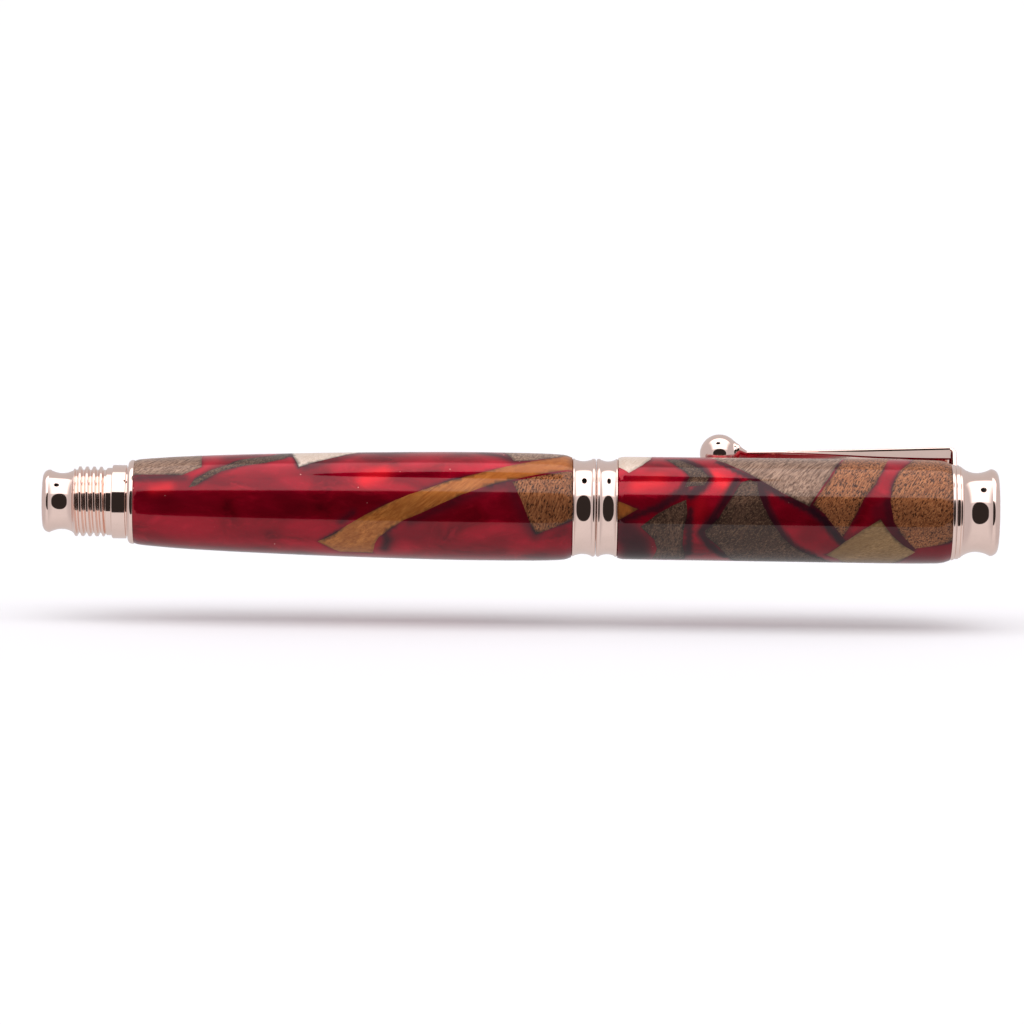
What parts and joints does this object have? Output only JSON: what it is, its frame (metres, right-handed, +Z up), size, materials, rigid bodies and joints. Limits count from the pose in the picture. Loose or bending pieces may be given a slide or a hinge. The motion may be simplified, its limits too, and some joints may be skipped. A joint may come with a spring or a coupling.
{
  "type": "capped rollerball pen",
  "caption": "Rollerball pen with a screw cap, sprung ball-ended clip, flared metal finials and barrels of wood chips cast in pearly red resin.",
  "frame": {"origin": "centre of the lower barrel's flat rear end face, on the pen's axis", "axes": "+X along the pen's axis from the rear end to the cap's finial, +Z up with the pen lying down; the clip stands up and back, 45 degrees from +Z towards +Y"},
  "size_m": [0.136, 0.0179, 0.0179],
  "materials": {
    "rose_gold": "polished rose-gold plating",
    "red_resin": "polished pearlescent deep red resin",
    "walnut": "grey-brown wood under clear gloss",
    "maple": "pale cream wood under clear gloss",
    "olive_wood": "streaky orange wood under clear gloss",
    "mahogany": "red-brown wood under clear gloss",
    "dark_burl": "dark grey-brown burl under clear gloss",
    "sycamore": "khaki wood under clear gloss",
    "raw_brass": "drawn brass tube",
    "black_plastic": "moulded black plastic",
    "refill_plastic": "moulded refill body",
    "ink_fibre": "ink-soaked fibre rod",
    "steel": "bright steel"
  },
  "bodies": {
    "barrel": {"barrel_resin": "red_resin", "barrel_walnut_chips": "walnut", "barrel_maple_chips": "maple", "barrel_olive_chips": "olive_wood", "barrel_mahogany_chips": "mahogany", "barrel_dark_chips": "dark_burl", "barrel_tube": "raw_brass", "rear_trim_ring": "rose_gold", "posting_coupler": "rose_gold", "rear_finial": "rose_gold", "barrel_band": "rose_gold", "barrel_coupler": "raw_brass", "refill_spring": "steel"},
    "refill": {"refill_tube": "refill_plastic", "refill_plug": "black_plastic", "ink_reservoir": "ink_fibre", "refill_collar": "black_plastic", "refill_tip": "steel"},
    "ball": {"writing_ball": "steel"},
    "nose": {"nose_cone": "rose_gold"},
    "section": {"section_coupler": "rose_gold", "grip_section": "black_plastic", "section_trim_ring": "rose_gold"},
    "liner": {"cap_liner": "black_plastic"},
    "cap_sleeve": {"cap_tube": "raw_brass"},
    "cap": {"cap_resin": "red_resin", "cap_walnut_chips": "walnut", "cap_mahogany_chips": "mahogany", "cap_maple_chips": "maple", "cap_olive_chips": "olive_wood", "cap_dark_chips": "dark_burl", "cap_sycamore_chips": "sycamore", "cap_band": "rose_gold", "cap_thread_insert": "rose_gold", "finial_coupler": "rose_gold", "clip_ring": "rose_gold", "cap_finial": "rose_gold"},
    "clip": {"clip_arm": "rose_gold", "clip_ball": "rose_gold"}
  },
  "joints": [
    {"name": "refill_pull", "type": "slide", "parent": "barrel", "child": "refill", "axis": [1, 0, 0], "range_m": [0, 0.07]},
    {"name": "ball_roll", "type": "hinge", "parent": "refill", "child": "ball", "pos_m": [0.1211, 0, 0], "axis": [0, 1, 0], "continuous": true},
    {"name": "section_travel", "type": "slide", "parent": "refill", "child": "nose", "axis": [1, 0, 0], "range_m": [0, 0.005]},
    {"name": "section_unscrew", "type": "hinge", "parent": "nose", "child": "section", "pos_m": [0.0786, 0, 0], "axis": [1, 0, 0], "range_deg": [0, 1800]},
    {"name": "cap_pull", "type": "slide", "parent": "section", "child": "liner", "axis": [1, 0, 0], "range_m": [0, 0.055]},
    {"name": "cap_travel", "type": "slide", "parent": "liner", "child": "cap_sleeve", "axis": [1, 0, 0], "range_m": [0, 0.0025]},
    {"name": "cap_unscrew", "type": "hinge", "parent": "cap_sleeve", "child": "cap", "pos_m": [0.0789, 0, 0], "axis": [1, 0, 0], "range_deg": [0, 900]},
    {"name": "clip_flex", "type": "hinge", "parent": "cap", "child": "clip", "pos_m": [0.1301, 0.007, 0.007], "axis": [0, 0.7071, -0.7071], "range_deg": [0, 6], "stiffness_Nm_per_rad": 3, "springref_deg": -1.49}
  ],
  "couplings": [
    {"joint": "section_unscrew", "follows": "section_travel", "rad_per_m": 6283.2},
    {"joint": "cap_unscrew", "follows": "cap_travel", "rad_per_m": 6283.2}
  ]
}
